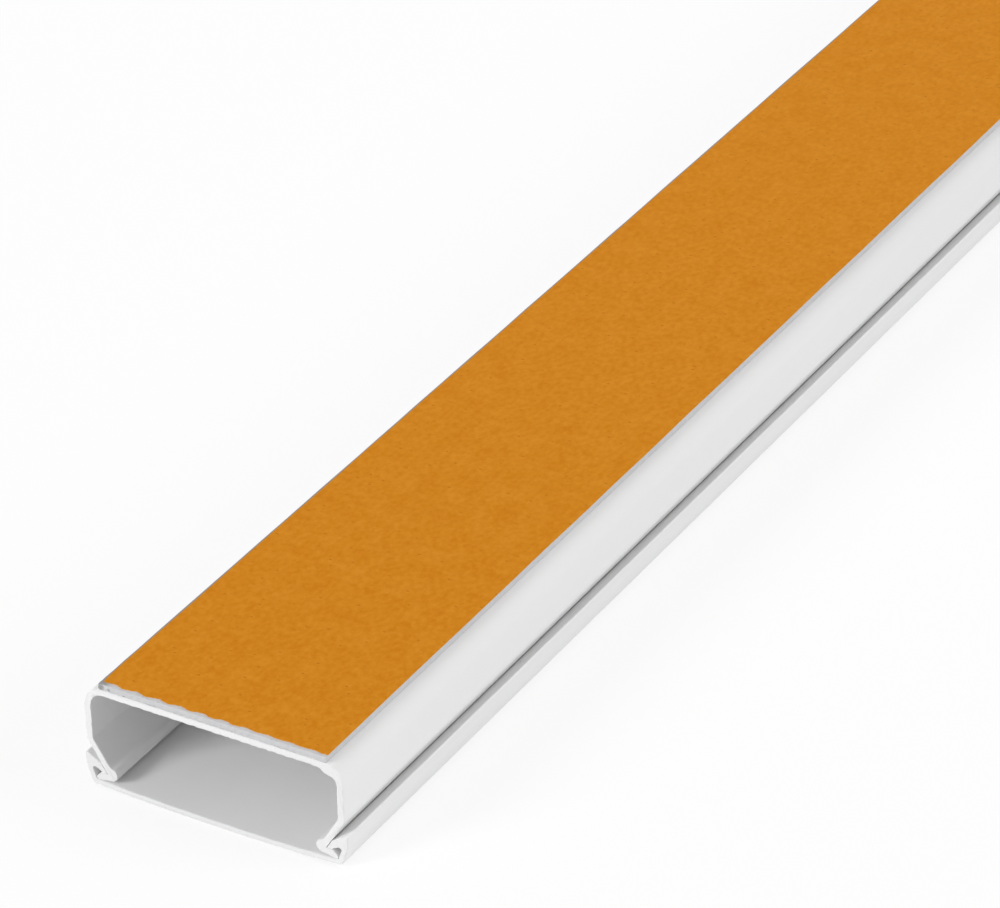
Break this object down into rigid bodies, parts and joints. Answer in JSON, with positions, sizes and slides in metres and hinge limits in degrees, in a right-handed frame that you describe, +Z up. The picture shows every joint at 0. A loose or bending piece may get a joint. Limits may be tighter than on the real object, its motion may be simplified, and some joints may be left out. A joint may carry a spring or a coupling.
{
  "type": "cord cover raceway",
  "caption": "Straight snap-lid cord cover raceway with an adhesive foam back under its paper liner, lying on its lid with the back up.",
  "frame": {"origin": "centre of the length and of the width, at the lowest line of the lid's crown, on which the part lies", "axes": "+Z up out of the adhesive back, +Y along the length away from the end that the picture shows, +X across the width"},
  "size_m": [0.04, 0.4, 0.0167],
  "materials": {
    "channel_plastic": "satin",
    "cover_plastic": "satin",
    "foam": "matte",
    "liner_paper": "satin"
  },
  "bodies": {
    "root": {"base_channel": "channel_plastic", "snap_cover": "cover_plastic", "foam_tape": "foam", "release_liner": "liner_paper"}
  },
  "joints": []
}
